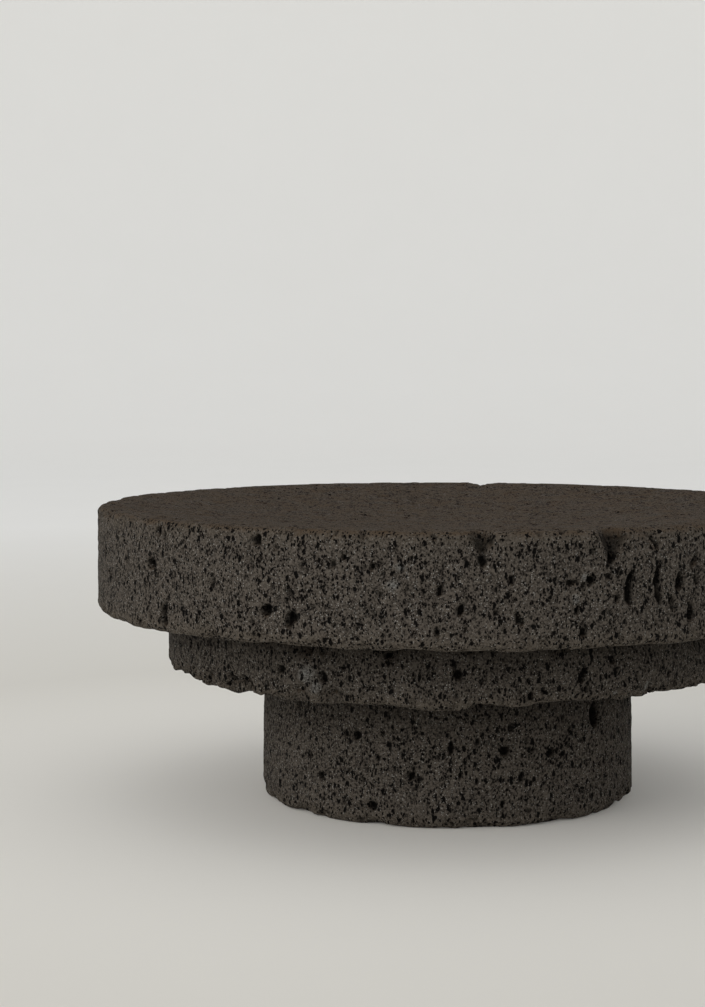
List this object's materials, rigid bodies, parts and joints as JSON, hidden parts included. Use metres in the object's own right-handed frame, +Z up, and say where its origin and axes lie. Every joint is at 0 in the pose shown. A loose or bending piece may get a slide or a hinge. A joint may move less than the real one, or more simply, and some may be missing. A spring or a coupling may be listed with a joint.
{
  "type": "stone molcajete dish",
  "caption": "Round stepped pedestal dish in dark vesicular lava stone: a wide shallow-dished top disc on a smaller disc and a plain drum foot.",
  "frame": {"origin": "on the common axis of the discs, at the underside of the foot", "axes": "+Z up along the common axis; -Y is the side seen first; the shape is round, so X and Y are otherwise free"},
  "size_m": [0.25, 0.25, 0.104],
  "materials": {
    "lava_stone": "rough sawn and pecked, open pores, unsealed",
    "stone_resin": "matt, stone dust in resin",
    "pin_steel": "plain drawn bar"
  },
  "bodies": {
    "root": {"top_disc": "lava_stone", "upper_bond_bed": "stone_resin", "middle_disc": "lava_stone", "lower_bond_bed": "stone_resin", "foot_drum": "lava_stone", "centre_pin": "pin_steel"}
  },
  "joints": []
}
